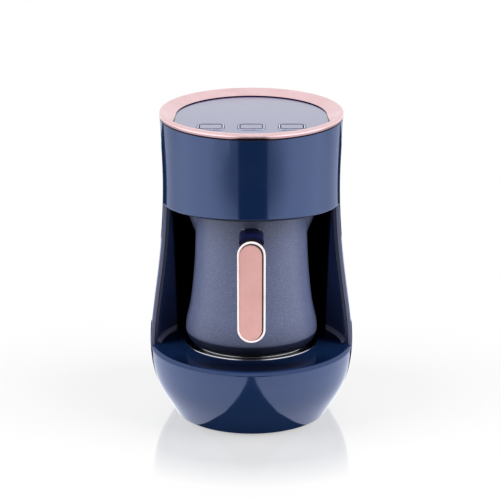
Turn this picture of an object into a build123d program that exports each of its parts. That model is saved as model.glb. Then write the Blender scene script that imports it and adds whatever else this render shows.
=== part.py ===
from build123d import *
import os
from math import cos, degrees, radians, sin, tan

# Electric turkish coffee maker: a tall body with a niche in front, a small pot with a handle that
# stands on a hot plate in the niche, and three keys on the sloping top.
# Millimetres, +Z up. The origin is where the body's axis meets the surface that it stands on, and the
# front looks towards -Y.

# ---- fits ----
seam = 0.2              # between mouldings that meet edge to edge
slip = 0.1              # between a piece and the seat that it drops into
key_gap = 0.3           # round a key
plunger_fit = 0.05      # round a plunger in its switch
screw_fit = 0.05        # between a thread and the hole that it cuts or turns in

# ---- outer form of the body: radius and height of each turn of the outline ----
foot_lift = 1.5
base_r = 58.9
cone_r, cone_z = 65.2, 12.5
hip_r, hip_z = 72.5, 27.0
bowl_r, bowl_z = 76.0, 42.0
belly_r, belly_z = 76.8, 54.0
shoulder_r, shoulder_z = 74.3, 83.0
flank_r, flank_z = 69.3, 117.0
neck_r, neck_z = 66.1, 149.0
waist_r, waist_z = 65.0, 177.0
crown_r, crown_z = 66.3, 222.0
above_crown = 30.0      # the outline runs on this far before the sloping top cuts it off
shell_wall = 2.6

# ---- niche ----
niche_half_angle = 78.0  # from the front to each edge of the opening
niche_shift = 14.0       # the liner is centred this far forward of the body's axis
cut_edge_round = 0.6     # along the outer edges of the opening
liner_wall = 2.0
liner_cove = 2.5         # round at the foot of the liner
deck_z = 54.4            # top of the floor
deck_wall = 2.4
rim_round = 3.0
rim_ease = 0.02          # the round starts this far outside the wall, which is all but upright there
rim_wall = 3.3
deck_ledge = 3.0         # width of the ledge that carries the deck
ceiling_z = 164.0
ceiling_wall = 2.2
brow_z = 162.0           # height of the brow's lower edge over the axis
brow_tilt = 3.0          # its front hangs lower
brow_edge_round = 1.0

# ---- sloping top ----
top_z = 228.5            # crest of the ring over the axis
top_tilt = 9.1           # degrees, front low
ring_overhang = 0.2      # beyond the body's crown
ring_depth = 4.0         # crest to the seam with the body
ring_round = 1.5
ring_land = 0.7          # flat left on the crest
seam_groove = 0.4        # bevel of each edge along the seam under the ring
ring_side, ring_front = 11.7, 3.5  # width of the ring at its back and sides, and in front
ring_lip = 0.8           # thickness of the ring's inner edge
panel_depth = 4.5        # crest to the panel
panel_wall = 2.4
panel_margin = 0.3       # panel edge to the inside of the body

# ---- keys ----
key_pitch = 28.2
key_y = -32.5            # along the panel's slope
key_length, key_width, key_corner = 15.3, 10.5, 2.6
key_proud = 0.5
key_travel = 0.6
frame_length, frame_width, frame_corner = 19.8, 14.0, 4.2
frame_proud = 0.6
key_flange = 0.8         # stops the key under the panel
key_flange_lap = 1.6
stem_r = 2.4
plunger_r, plunger_length, plunger_proud = 1.7, 3.2, 1.1
switch_size, switch_height = 6.2, 4.0

# ---- control board ----
board_drop = 14.0        # top of the panel to top of the board
board_end = 10.8         # from the outer keys to the ends of the board
board_width, board_wall, board_corner = 27.0, 1.6, 1.5
board_post_r = 3.0
board_screw_r, board_screw_head_r, board_screw_head = 1.3, 2.6, 1.3
board_screw_grip = 2.6   # thread in the post
led_r, led_height, led_dome = 1.5, 4.5, 1.3
buzzer_r, buzzer_height, buzzer_hole_r = 6.0, 7.0, 1.0

# ---- hot plate ----
plate_r, plate_top_z, plate_wall = 44.4, 54.5, 4.5
plate_flange_r, plate_flange_wall = 47.4, 1.2
plate_edge_round = 0.6
plate_ring_r, plate_ring_z = 48.7, 52.9
plate_ring_bead = 0.7
deck_hole_r, deck_hole_round = 49.3, 0.6
seat_wall = 1.6          # seats and ledges
seat_ledge = 2.0
seal_height = 2.0
seal_width = 2.2
element_r, element_tube_r, element_gap_deg = 31.0, 3.2, 50.0
element_pin_r, element_pin_length = 1.6, 10.0
stud_r, stud_ring_r, stud_length = 2.5, 17.0, 10.0
stud_tip_r, stud_tip_proud = 1.8, 0.9
bracket_r, bracket_wall, bracket_arm = 21.5, 1.2, 8.0
nut_across, nut_height = 7.0, 3.0
thermostat_r, thermostat_cap_r, thermostat_body = 8.0, 6.5, 6.0
fuse_r, fuse_length, fuse_chamfer = 2.0, 11.0, 0.5

# ---- bottom ----
base_plate_wall = 2.4
boss_r, boss_ring_r = 3.3, 52.7
screw_r, screw_head_r, screw_head_height, screw_length = 1.4, 2.5, 1.2, 13.0
recess_length, recess_width, recess_depth = 4.0, 0.6, 0.6
foot_r, foot_ring_r, foot_seat = 7.5, 38.0, 0.9
foot_round = 0.6
rib_wall, rib_height, rib_ring_r = 1.4, 3.0, 46.5
vent_length, vent_width, vent_pitch, vent_rows = 26.0, 2.0, 5.0, 5

# ---- mains electronics ----
power_x, power_y, power_wall = 58.0, 40.0, 1.6
power_shift = -6.0
power_z = 11.0
power_post_r = 3.0
relay_size, relay_round = (19.0, 15.0, 15.0), 0.8
transformer_size = (22.0, 12.0, 17.0)
coil_size = (15.4, 20.0, 8.5)
terminal_size, terminal_hole_r = (20.0, 8.0, 9.0), 1.7
part_gap = 3.0           # between the parts on the mains board
board_margin = 1.5       # from those parts to the board's edge

# ---- cord bush ----
bush_z, bush_r, bush_collar_r, bush_collar = 16.0, 5.6, 8.0, 2.0
bush_bore_r, bush_length, bush_round = 3.6, 9.0, 0.7

# ---- wires ----
loom_r = 2.4
loom_hole_r = 3.4
wire_gap = 0.3
loom_turn = 12.0         # where it turns, before and after the deck
loom_rise = 18.0
loom_head = 26.0         # straight run above the ceiling
loom_end = 22.0          # straight run into the control board
bend_share = 0.45        # part of a run that the bend at either end may take

# ---- boil sensor ----
window_r, window_wall, window_lip, window_step = 8.0, 1.8, 1.4, 0.7
sensor_y = -14.0
sensor_r, sensor_height, sensor_chamfer = 6.0, 9.0, 0.8

# ---- pot ----
pot_z = 54.8             # underside of the pot
pot_foot_r = 42.5
pot_belly_r, pot_belly_z = 49.8, 65.5
pot_hip_r, pot_hip_z = 47.1, 80.0
pot_flank_r, pot_flank_z = 44.1, 99.0
pot_neck_r, pot_neck_z = 42.1, 122.0
pot_top_r, pot_top_z = 41.0, 156.5
pot_wall = 1.4
pot_lip, pot_lip_height = 0.8, 1.8   # rolled edge of the mouth
spout_reach = 8.0        # how far a pouring lip stands out
spout_r, spout_drop, spout_tip_r = 11.0, 24.0, 0.2
pot_disc_r, pot_disc_wall = 39.0, 1.2

# ---- handle ----
grip_width, grip_thick, grip_corner = 17.4, 9.6, 3.6
grip_back_y = -63.0      # side of the grip towards the pot
grip_above_pad = 1.6     # the grip's top stands this far above the pad's
neck_mid_z = 145.0       # centre line of the neck
neck_width, neck_height, neck_blend = 17.0, 9.2, 1.0
grip_end_z = 77.5
pad_width, pad_low_z, pad_high_z, pad_thick = 19.2, 76.0, 147.0, 2.6
pad_border, pad_recess, pad_round = 1.3, 0.7, 0.6
strap_half_angle, strap_thick, strap_height = 8.5, 1.6, 8.0
tongue_width, tongue_thick, tongue_length = 8.0, 2.6, 15.0
handle_screw_r, handle_screw_head_r, handle_screw_head = 1.4, 2.7, 1.4
handle_screw_length = 6.4

os.makedirs("parts", exist_ok=True)

tilt = radians(top_tilt)
ring_r = crown_r + ring_overhang
ring_opening_half = ring_r - ring_side  # half width of the opening, and the radius of its back
ring_front_r = ring_r - ring_front      # radius of its front
body_outline = [
    (base_r, foot_lift), (cone_r, cone_z), (hip_r, hip_z), (bowl_r, bowl_z), (belly_r, belly_z),
    (shoulder_r, shoulder_z), (flank_r, flank_z), (neck_r, neck_z), (waist_r, waist_z),
    (crown_r, crown_z), (crown_r, crown_z + above_crown),
]
tall = crown_z + 2 * above_crown
search_steps = 40        # halvings when a radius is looked up on an outline


def finish(builder, name):
    """Label a finished piece and write it."""
    builder.part.label = name
    export_step(builder.part, f"parts/{name}.step")


def body_curve(inset=0.0, squeeze=1.0):
    """The body's outline, moved in by an inset and narrowed by a factor."""
    return Spline(*[((r - inset) * squeeze, z) for r, z in body_outline], mode=Mode.PRIVATE)


def radius_on(curve, z):
    """Radius of an outline at a height."""
    low, high = 0.0, 1.0
    for _ in range(search_steps):
        middle = (low + high) / 2
        if (curve @ middle).Y < z:
            low = middle
        else:
            high = middle
    return (curve @ low).X


def body_section(outer_inset, inner_inset, squeeze=1.0, plane=Plane.XZ):
    """Face between two outlines of the body."""
    with BuildSketch(plane) as section:
        with BuildLine():
            outer = add(body_curve(outer_inset, squeeze)).edge()
            inner = add(body_curve(inner_inset, squeeze)).edge()
            Line(outer @ 0, inner @ 0)
            Line(outer @ 1, inner @ 1)
        make_face()
    return section.sketch


def on_plane(plane, height=0.0):
    """Test for the edges that lie at a height over a plane."""
    return lambda e: all(abs(plane.to_local_coords(e @ t).Z - height) < 0.01 for t in (0, 0.5, 1))


def tilted(drop):
    """Plane of the sloping top, lowered along the body's axis."""
    return Plane(origin=(0, 0, top_z - drop), x_dir=(1, 0, 0), z_dir=(0, -sin(tilt), cos(tilt)))


def wedge(half_angle):
    """Plan of the niche opening: everything within an angle of the front."""
    reach = 4 * belly_r
    edge = radians(half_angle)
    with BuildSketch(Plane.XY) as plan:
        with BuildLine():
            Polyline((0, 0), (reach * sin(edge), -reach * cos(edge)), (reach, -reach),
                     (-reach, -reach), (-reach * sin(edge), -reach * cos(edge)), (0, 0))
        make_face()
    return plan.sketch


seam_plane = tilted(ring_depth)
brow_plane = Plane(origin=(0, 0, brow_z), x_dir=(1, 0, 0),
                   z_dir=(0, -sin(radians(brow_tilt)), cos(radians(brow_tilt))))
shell_curve = body_curve(shell_wall)
boss_places = PolarLocations(boss_ring_r, 4, start_angle=45)
foot_places = PolarLocations(foot_ring_r, 4, start_angle=45)

# ---- body shell ----
shell_ring = body_section(0, shell_wall)
opening_plan = wedge(niche_half_angle)
ledge_top = deck_z - deck_wall
outer_curve = body_curve()
deck_seat_r = radius_on(outer_curve, deck_z) - rim_wall
seat_out_r = radius_on(outer_curve, ledge_top) - shell_wall / 2  # the seat ends inside the wall
bush_wall_r = radius_on(outer_curve, bush_z)
bush_rise = radius_on(outer_curve, bush_z + 1) - radius_on(outer_curve, bush_z - 1)
bush_plane = Plane(origin=(0, bush_wall_r, bush_z), x_dir=(1, 0, 0), z_dir=(0, 1, -bush_rise / 2))

panel_r = radius_on(shell_curve, crown_z) - panel_margin
with BuildPart() as panel_seat:
    # ledge under the control panel, shared out between shell and brow
    with BuildSketch(tilted(panel_depth).offset(-panel_wall)):
        Circle(panel_r + panel_margin + shell_wall / 2)
        Circle(panel_r - seat_ledge, mode=Mode.SUBTRACT)
    extrude(amount=-seat_wall)
panel_ledge = panel_seat.part


def on_cut_edge(edge):
    """Test for the outer edges up the sides of the niche opening."""
    middle = edge @ 0.5
    outside = abs(Vector(middle.X, middle.Y).length - radius_on(outer_curve, middle.Z)) < 0.01
    return outside and abs((edge @ 1).Z - (edge @ 0).Z) > (ceiling_z - deck_z) / 2


rim_mid_r = radius_on(outer_curve, deck_z - rim_round) - rim_round + rim_ease
with BuildPart() as rim_corner:
    # what the round along the front of the rim takes away
    with BuildSketch(Plane.XZ):
        with Locations((rim_mid_r, deck_z - rim_round)):
            Rectangle(2 * rim_round, 2 * rim_round, align=(Align.MIN, Align.MIN))
            Circle(rim_round, mode=Mode.SUBTRACT)
    revolve(axis=Axis.Z)
    extrude(opening_plan, amount=tall, mode=Mode.INTERSECT)

with BuildPart() as body_shell:
    revolve(shell_ring, axis=Axis.Z)
    # the bowl's wall is thicker along the rim, where it is rounded over
    with BuildSketch(Plane.XY.offset(ledge_top)):
        Circle(seat_out_r)
        Circle(deck_seat_r, mode=Mode.SUBTRACT)
    extrude(amount=deck_wall)
    # ledge under the deck
    with BuildSketch(Plane.XY.offset(ledge_top)):
        Circle(seat_out_r)
        Circle(deck_seat_r - deck_ledge, mode=Mode.SUBTRACT)
    extrude(amount=-shell_wall)
    add(panel_ledge)
    # front opening, open to the top
    extrude(Plane.XY.offset(deck_z) * opening_plan, amount=tall, mode=Mode.SUBTRACT)
    add(rim_corner.part, mode=Mode.SUBTRACT)
    split(bisect_by=seam_plane, keep=Keep.BOTTOM)
    fillet(body_shell.edges().filter_by(on_cut_edge), radius=cut_edge_round)
    seam_edges = body_shell.edges().filter_by(on_plane(seam_plane))
    chamfer(seam_edges.sort_by(lambda e: e.length)[-1], length=seam_groove)
    with Locations(bush_plane):
        Cylinder(bush_r + slip, 2 * bush_length, mode=Mode.SUBTRACT)
finish(body_shell, "body_shell")


# ---- brow panel ----
ceiling_r = radius_on(shell_curve, ceiling_z + ceiling_wall) - seam
with BuildPart() as brow_panel:
    revolve(shell_ring, axis=Axis.Z)
    add(panel_ledge)
    # ledge under the ceiling
    with BuildSketch(Plane.XY.offset(ceiling_z)):
        Circle(waist_r - shell_wall / 2)
        Circle(ceiling_r - seat_ledge, mode=Mode.SUBTRACT)
    extrude(amount=-seat_wall)
    extrude(wedge(niche_half_angle - degrees(seam / waist_r)), amount=tall, mode=Mode.INTERSECT)
    split(bisect_by=brow_plane, keep=Keep.TOP)
    split(bisect_by=seam_plane, keep=Keep.BOTTOM)
    brow_edge = brow_panel.edges().filter_by(on_plane(brow_plane)).sort_by(lambda e: e.length)[-1]
    fillet(brow_edge, radius=brow_edge_round)
    seam_edges = brow_panel.edges().filter_by(on_plane(seam_plane))
    chamfer(seam_edges.sort_by(lambda e: e.length)[-1], length=seam_groove)
finish(brow_panel, "brow_panel")

# ---- niche liner ----
niche_plane = Plane(origin=(0, -niche_shift, 0), x_dir=(1, 0, 0), z_dir=(0, -1, 0))
niche_axis = Axis((0, -niche_shift, 0), (0, 0, 1))
narrow = sin(radians(niche_half_angle))
liner_outer_inset = shell_wall + seam / narrow
liner_inner_inset = liner_outer_inset + liner_wall / narrow
liner_foot_r = radius_on(body_curve(liner_inner_inset, narrow), deck_z)
liner_back_y = radius_on(body_curve(liner_outer_inset, narrow), deck_z) - niche_shift
liner_section = body_section(liner_outer_inset, liner_inner_inset, narrow, niche_plane)
with BuildPart() as niche_liner:
    revolve(liner_section, axis=niche_axis)
    split(bisect_by=Plane.XY.offset(deck_z), keep=Keep.TOP)
    split(bisect_by=Plane.XY.offset(ceiling_z), keep=Keep.BOTTOM)
    with BuildSketch(niche_plane):
        with Locations((liner_foot_r - liner_cove, deck_z)):
            Rectangle(liner_cove + liner_wall / 2, liner_cove, align=(Align.MIN, Align.MIN))
        with Locations((liner_foot_r - liner_cove, deck_z + liner_cove)):
            Circle(liner_cove, mode=Mode.SUBTRACT)
    revolve(axis=niche_axis)
    extrude(wedge(niche_half_angle + degrees(seam / waist_r)), amount=tall, mode=Mode.SUBTRACT)
finish(niche_liner, "niche_liner")

# ---- deck ----
plate_under_z = plate_top_z - plate_wall
seal_low_z = plate_under_z - seal_height
ledge_low_z = seal_low_z - seat_wall
seal_in_r = plate_flange_r - seal_width
base_plate_top = foot_lift + base_plate_wall
loom_deck_y = (liner_back_y + deck_seat_r) / 2
with BuildPart() as deck:
    with BuildSketch(Plane.XY.offset(deck_z)):
        Circle(deck_seat_r - slip)
        Circle(deck_hole_r, mode=Mode.SUBTRACT)
        with Locations((0, loom_deck_y)):
            Circle(loom_hole_r, mode=Mode.SUBTRACT)
    extrude(amount=-deck_wall)
    # collar and ledge that carry the hot plate
    with BuildSketch(Plane.XY.offset(ledge_low_z)):
        Circle(deck_hole_r + seat_wall)
        Circle(deck_hole_r, mode=Mode.SUBTRACT)
    extrude(until=Until.NEXT)
    with BuildSketch(Plane.XY.offset(ledge_low_z)):
        Circle(deck_hole_r + seat_wall)
        Circle(seal_in_r, mode=Mode.SUBTRACT)
    extrude(amount=seat_wall)
    with BuildSketch(Plane.XY.offset(base_plate_top)):
        with boss_places:
            Circle(boss_r)
    extrude(amount=deck_z - deck_wall / 2 - base_plate_top)
    with BuildSketch(Plane.XY.offset(base_plate_top)):
        with boss_places:
            Circle(screw_r + screw_fit)
    extrude(amount=screw_length, mode=Mode.SUBTRACT)
    fillet(deck.edges().filter_by(GeomType.CIRCLE).filter_by_position(Axis.Z, deck_z, deck_z)
           .filter_by(lambda e: abs(e.radius - deck_hole_r) < 0.01), radius=deck_hole_round)
finish(deck, "deck")

# ---- hot plate and what it carries ----
stud_places = PolarLocations(stud_ring_r, 3, start_angle=30)
with BuildPart() as hot_plate:
    with BuildSketch(Plane.XY.offset(plate_under_z)):
        Circle(plate_flange_r)
    extrude(amount=plate_flange_wall)
    with BuildSketch(Plane.XY.offset(plate_under_z)):
        Circle(plate_r)
    extrude(amount=plate_wall)
    fillet(hot_plate.edges().sort_by(Axis.Z)[-1], radius=plate_edge_round)
    with BuildSketch(Plane.XY.offset(plate_under_z)):
        with stud_places:
            Circle(stud_r)
    extrude(amount=-stud_length)
    with BuildSketch(Plane.XY.offset(plate_under_z - stud_length)):
        with stud_places:
            Circle(stud_tip_r)
    extrude(amount=-(bracket_wall + nut_height + stud_tip_proud))
finish(hot_plate, "hot_plate")

flange_top_z = plate_under_z + plate_flange_wall
with BuildPart() as plate_ring:
    with BuildSketch(Plane.XZ):
        with BuildLine():
            bead_z = plate_ring_z - plate_ring_bead
            bead_in_r = plate_ring_r - 2 * plate_ring_bead
            Polyline((bead_in_r, bead_z), (plate_r + slip, flange_top_z + plate_ring_bead),
                     (plate_r + slip, flange_top_z), (plate_ring_r, flange_top_z),
                     (plate_ring_r, bead_z))
            ThreePointArc((plate_ring_r, bead_z), (plate_ring_r - plate_ring_bead, plate_ring_z),
                          (bead_in_r, bead_z))
        make_face()
    revolve(axis=Axis.Z)
finish(plate_ring, "plate_ring")

with BuildPart() as plate_seal:
    with BuildSketch(Plane.XY.offset(seal_low_z)):
        Circle(deck_hole_r - slip)
        Circle(seal_in_r, mode=Mode.SUBTRACT)
    extrude(amount=seal_height)
finish(plate_seal, "plate_seal")

element_z = plate_under_z - element_tube_r
with BuildPart() as heating_element:
    with BuildSketch(Plane.XZ.rotated((0, 0, 90 + element_gap_deg / 2))):
        with Locations((element_r, element_z)):
            Circle(element_tube_r)
    revolve(axis=Axis.Z, revolution_arc=360 - element_gap_deg)
    with BuildSketch(Plane.XY.offset(element_z)):
        for side in (-1, 1):
            with PolarLocations(element_r, 1, start_angle=90 + side * (element_gap_deg / 2 + 3)):
                Circle(element_pin_r)
    extrude(amount=-element_pin_length)
finish(heating_element, "heating_element")

bracket_top = plate_under_z - stud_length
with BuildPart() as plate_bracket:
    with BuildSketch(Plane.XY.offset(bracket_top)):
        Circle(bracket_r)
        with PolarLocations(0, 3, start_angle=30):
            Rectangle(seal_in_r + seat_wall, bracket_arm, align=(Align.MIN, Align.CENTER))
        with stud_places:
            Circle(stud_tip_r + slip, mode=Mode.SUBTRACT)
    extrude(amount=-bracket_wall)
    # ends turned up under the deck's ledge
    with BuildSketch(Plane.XY.offset(bracket_top)):
        with PolarLocations(seal_in_r + seat_wall, 3, start_angle=30):
            Rectangle(bracket_wall, bracket_arm, align=(Align.MAX, Align.CENTER))
    extrude(amount=ledge_low_z - bracket_top)
finish(plate_bracket, "plate_bracket")

with BuildPart() as bracket_nuts:
    with BuildSketch(Plane.XY.offset(bracket_top - bracket_wall)):
        with stud_places:
            RegularPolygon(nut_across / 2, 6, major_radius=False)
            Circle(stud_tip_r + screw_fit, mode=Mode.SUBTRACT)
    extrude(amount=-nut_height)
finish(bracket_nuts, "bracket_nuts")

with BuildPart() as thermostat:
    with BuildSketch(Plane.XY.offset(bracket_top)):
        Circle(thermostat_r)
    extrude(amount=thermostat_body)
    with BuildSketch(Plane.XY.offset(bracket_top)):
        Circle(thermostat_cap_r)
    extrude(amount=stud_length - slip)
finish(thermostat, "thermostat")

with BuildPart() as thermal_fuse:
    with BuildSketch(Plane.YZ):
        with Locations(((thermostat_r + bracket_r) / 2, bracket_top + fuse_r)):
            Circle(fuse_r)
    extrude(amount=fuse_length / 2, both=True)
    chamfer(thermal_fuse.edges().filter_by(GeomType.CIRCLE), length=fuse_chamfer)
finish(thermal_fuse, "thermal_fuse")

# ---- bottom cover ----
with BuildPart() as base_plate:
    with BuildSketch(Plane.XY.offset(foot_lift)):
        Circle(radius_on(shell_curve, foot_lift) - slip)
        with GridLocations(0, vent_pitch, 1, vent_rows):
            SlotOverall(vent_length, vent_width, mode=Mode.SUBTRACT)
        with boss_places:
            Circle(screw_r + slip, mode=Mode.SUBTRACT)
    extrude(amount=base_plate_wall)
    with BuildSketch(Plane.XY.offset(foot_lift)):
        with boss_places:
            Circle(screw_head_r + slip)
    extrude(amount=screw_head_height, mode=Mode.SUBTRACT)
    with BuildSketch(Plane.XY.offset(foot_lift)):
        with foot_places:
            Circle(foot_r + slip)
    extrude(amount=foot_seat, mode=Mode.SUBTRACT)
    # stiffening ribs: a ring inside the bosses, and four to the edge
    with BuildSketch(Plane.XY.offset(base_plate_top)):
        Circle(rib_ring_r)
        Circle(rib_ring_r - rib_wall, mode=Mode.SUBTRACT)
        with PolarLocations(0, 4):
            with Locations((rib_ring_r - rib_wall / 2, 0)):
                Rectangle(boss_ring_r - rib_ring_r, rib_wall, align=(Align.MIN, Align.CENTER))
    extrude(amount=rib_height)
    # posts for the mains board
    with BuildSketch(Plane.XY.offset(base_plate_top)):
        with Locations((0, power_shift)):
            with GridLocations(power_x - 2 * power_post_r, power_y - 2 * power_post_r, 2, 2):
                Circle(power_post_r)
    extrude(amount=power_z - base_plate_top)
finish(base_plate, "base_plate")

with BuildPart() as base_screws:
    with BuildSketch(Plane.XY.offset(foot_lift)):
        with boss_places:
            Circle(screw_head_r)
    extrude(amount=screw_head_height)
    with BuildSketch(Plane.XY.offset(foot_lift)):
        with boss_places:
            Circle(screw_r)
    extrude(amount=screw_length)
    with BuildSketch(Plane.XY.offset(foot_lift)):
        with boss_places:
            Rectangle(recess_length, recess_width)
            Rectangle(recess_width, recess_length)
    extrude(amount=recess_depth, mode=Mode.SUBTRACT)
finish(base_screws, "base_screws")

with BuildPart() as rubber_feet:
    with BuildSketch(Plane.XY):
        with foot_places:
            Circle(foot_r)
    extrude(amount=foot_lift + foot_seat)
    fillet(rubber_feet.edges().group_by(Axis.Z)[0], radius=foot_round)
finish(rubber_feet, "rubber_feet")

# ---- mains electronics ----
board_top = power_z + power_wall
with BuildPart() as power_board:
    with BuildSketch(Plane.XY.offset(power_z)):
        with Locations((0, power_shift)):
            RectangleRounded(power_x, power_y, board_corner)
    extrude(amount=power_wall)
finish(power_board, "power_board")

relay_x = -(relay_size[0] + part_gap) / 2 - part_gap
transformer_x = (transformer_size[0] + part_gap) / 2 + part_gap / 2
front_row_y = power_shift - power_y / 2 + board_margin
terminal_y = power_shift + power_y / 2 - board_margin
with BuildPart() as power_relay:
    with Locations((relay_x, front_row_y, board_top)):
        Box(*relay_size, align=(Align.CENTER, Align.MIN, Align.MIN))
    fillet(power_relay.edges().filter_by(Axis.Z), radius=relay_round)
finish(power_relay, "power_relay")

with BuildPart() as transformer:
    with Locations((transformer_x, front_row_y, board_top)):
        Box(*transformer_size, align=(Align.CENTER, Align.MIN, Align.MIN))
        with Locations((0, 0, (transformer_size[2] - coil_size[2]) / 2)):
            Box(*coil_size, align=(Align.CENTER, Align.MIN, Align.MIN))
finish(transformer, "transformer")

with BuildPart() as terminal_block:
    with Locations((0, terminal_y, board_top)):
        Box(*terminal_size, align=(Align.CENTER, Align.MAX, Align.MIN))
    with Locations((0, terminal_y - terminal_size[1] / 2, board_top + terminal_size[2])):
        with GridLocations(terminal_size[0] / 4, 0, 4, 1):
            Cylinder(terminal_hole_r, terminal_size[2], mode=Mode.SUBTRACT)
finish(terminal_block, "terminal_block")

with BuildPart() as cord_bush:
    with BuildSketch(bush_plane.offset(slip)):
        Circle(bush_collar_r)
    extrude(amount=bush_collar)
    with BuildSketch(bush_plane.offset(slip)):
        Circle(bush_r)
    extrude(amount=-bush_length)
    with BuildSketch(bush_plane.offset(slip + bush_collar)):
        Circle(bush_bore_r)
    extrude(amount=-2 * bush_length, mode=Mode.SUBTRACT)
    fillet(cord_bush.edges().filter_by(GeomType.CIRCLE).group_by(SortBy.RADIUS)[-1],
           radius=bush_round)
finish(cord_bush, "cord_bush")

# ---- ceiling and boil sensor ----
liner_head_y = radius_on(body_curve(liner_outer_inset, narrow), ceiling_z) - niche_shift
loom_ceiling_y = (liner_head_y + ceiling_r) / 2
ceiling_top = ceiling_z + ceiling_wall
window_seat = ceiling_z + window_step
with BuildPart() as niche_ceiling:
    with BuildSketch(Plane.XY.offset(ceiling_z)):
        Circle(ceiling_r)
        with Locations((0, sensor_y)):
            Circle(window_r - window_lip, mode=Mode.SUBTRACT)
        with Locations((0, loom_ceiling_y)):
            Circle(loom_hole_r, mode=Mode.SUBTRACT)
    extrude(amount=ceiling_wall)
    with BuildSketch(Plane.XY.offset(window_seat)):
        with Locations((0, sensor_y)):
            Circle(window_r + slip)
    extrude(amount=ceiling_wall, mode=Mode.SUBTRACT)
finish(niche_ceiling, "niche_ceiling")

with BuildPart() as sensor_window:
    with BuildSketch(Plane.XY.offset(window_seat)):
        with Locations((0, sensor_y)):
            Circle(window_r)
    extrude(amount=window_wall)
finish(sensor_window, "sensor_window")

with BuildPart() as boil_sensor:
    with BuildSketch(Plane.XY.offset(window_seat + window_wall)):
        with Locations((0, sensor_y)):
            Circle(sensor_r)
    extrude(amount=sensor_height)
    chamfer(boil_sensor.edges().group_by(Axis.Z)[-1], length=sensor_chamfer)
finish(boil_sensor, "boil_sensor")

# ---- top ring ----
crest_plane = tilted(0)
panel_plane = tilted(panel_depth)
ring_slope_r = ring_r - ring_round - ring_land
with BuildPart() as ring_step:
    # what the body's rim takes up under the ring
    with BuildSketch(Plane.XY.offset(top_z - 2 * ring_r)):
        Circle(2 * ring_r)
        Circle(panel_r, mode=Mode.SUBTRACT)
    extrude(amount=4 * ring_r)
    split(bisect_by=seam_plane, keep=Keep.BOTTOM)

with BuildPart() as top_ring:
    with BuildSketch(Plane.XY.offset(top_z - ring_r)):
        Circle(ring_r)
    extrude(amount=2 * ring_r)
    split(bisect_by=crest_plane, keep=Keep.BOTTOM)
    split(bisect_by=panel_plane, keep=Keep.TOP)
    add(ring_step.part, mode=Mode.SUBTRACT)
    # opening: round at the back, straight sides, and close to the ring's edge in front
    with BuildSketch(crest_plane):
        Circle(ring_opening_half)
        Rectangle(2 * ring_opening_half, 2 * ring_front_r, align=(Align.CENTER, Align.MAX))
        Circle(ring_front_r / cos(tilt), mode=Mode.INTERSECT)
    extrude(amount=-2 * panel_depth, mode=Mode.SUBTRACT)
    # broad slope down to the panel, widest at the back
    with BuildSketch(Plane(origin=crest_plane.origin, x_dir=(1, 0, 0), z_dir=-crest_plane.y_dir)):
        with BuildLine():
            Polyline((0, ring_lip - panel_depth), (ring_opening_half, ring_lip - panel_depth),
                     (ring_slope_r, 0), (ring_slope_r, panel_depth), (0, panel_depth),
                     (0, ring_lip - panel_depth))
        make_face()
    revolve(axis=Axis(crest_plane.origin, crest_plane.z_dir), mode=Mode.SUBTRACT)
    crest_edge = top_ring.edges().filter_by(on_plane(crest_plane)).sort_by(lambda e: e.length)[-1]
    fillet(crest_edge, radius=ring_round)
    seam_edges = top_ring.edges().filter_by(on_plane(seam_plane))
    chamfer(seam_edges.sort_by(lambda e: e.length)[-1], length=seam_groove)
finish(top_ring, "top_ring")

# ---- control panel ----
key_xs = {"left": -key_pitch, "centre": 0.0, "right": key_pitch}
board_length = 2 * (key_pitch + board_end)


def key_row():
    """Places of the three keys along a row."""
    return GridLocations(key_pitch, 0, 3, 1)


def board_corners():
    """Places of the control board's posts about its middle."""
    return GridLocations(board_length - 2 * board_post_r, board_width - 2 * board_post_r, 2, 2)


with BuildPart() as control_panel:
    with BuildSketch(Plane.XY.offset(top_z - ring_r)):
        Circle(panel_r - slip)
    extrude(amount=2 * ring_r)
    split(bisect_by=panel_plane, keep=Keep.BOTTOM)
    split(bisect_by=panel_plane.offset(-panel_wall), keep=Keep.TOP)
    # raised frames round the keys
    with BuildSketch(panel_plane):
        with Locations((0, key_y)):
            with key_row():
                RectangleRounded(frame_length, frame_width, frame_corner)
    extrude(amount=frame_proud)
    fillet(control_panel.edges().filter_by(on_plane(panel_plane, frame_proud)),
           radius=frame_proud / 2)
    with BuildSketch(panel_plane.offset(frame_proud)):
        with Locations((0, key_y)):
            with key_row():
                RectangleRounded(key_length + 2 * key_gap, key_width + 2 * key_gap,
                                 key_corner + key_gap)
    extrude(amount=-2 * panel_depth, mode=Mode.SUBTRACT)
    with BuildSketch(panel_plane.offset(-panel_wall)):
        with Locations((0, key_y)):
            with board_corners():
                Circle(board_post_r)
    extrude(amount=panel_wall - board_drop)
    with BuildSketch(panel_plane.offset(-board_drop)):
        with Locations((0, key_y)):
            with board_corners():
                Circle(board_screw_r + screw_fit)
    extrude(amount=board_screw_grip + board_wall, mode=Mode.SUBTRACT)
finish(control_panel, "control_panel")

# ---- control board and what stands on it ----
board_plane = panel_plane.offset(-board_drop)
switch_plane = board_plane.offset(switch_height)
with BuildPart() as control_board:
    with BuildSketch(board_plane):
        with Locations((0, key_y)):
            RectangleRounded(board_length, board_width, board_corner)
            with board_corners():
                Circle(board_screw_r + slip, mode=Mode.SUBTRACT)
    extrude(amount=-board_wall)
finish(control_board, "control_board")

with BuildPart() as panel_screws:
    with BuildSketch(board_plane.offset(-board_wall)):
        with Locations((0, key_y)):
            with board_corners():
                Circle(board_screw_r)
    extrude(amount=board_wall + board_screw_grip)
    with BuildSketch(board_plane.offset(-board_wall)):
        with Locations((0, key_y)):
            with board_corners():
                Circle(board_screw_head_r)
    extrude(amount=-board_screw_head)
finish(panel_screws, "panel_screws")

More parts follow.
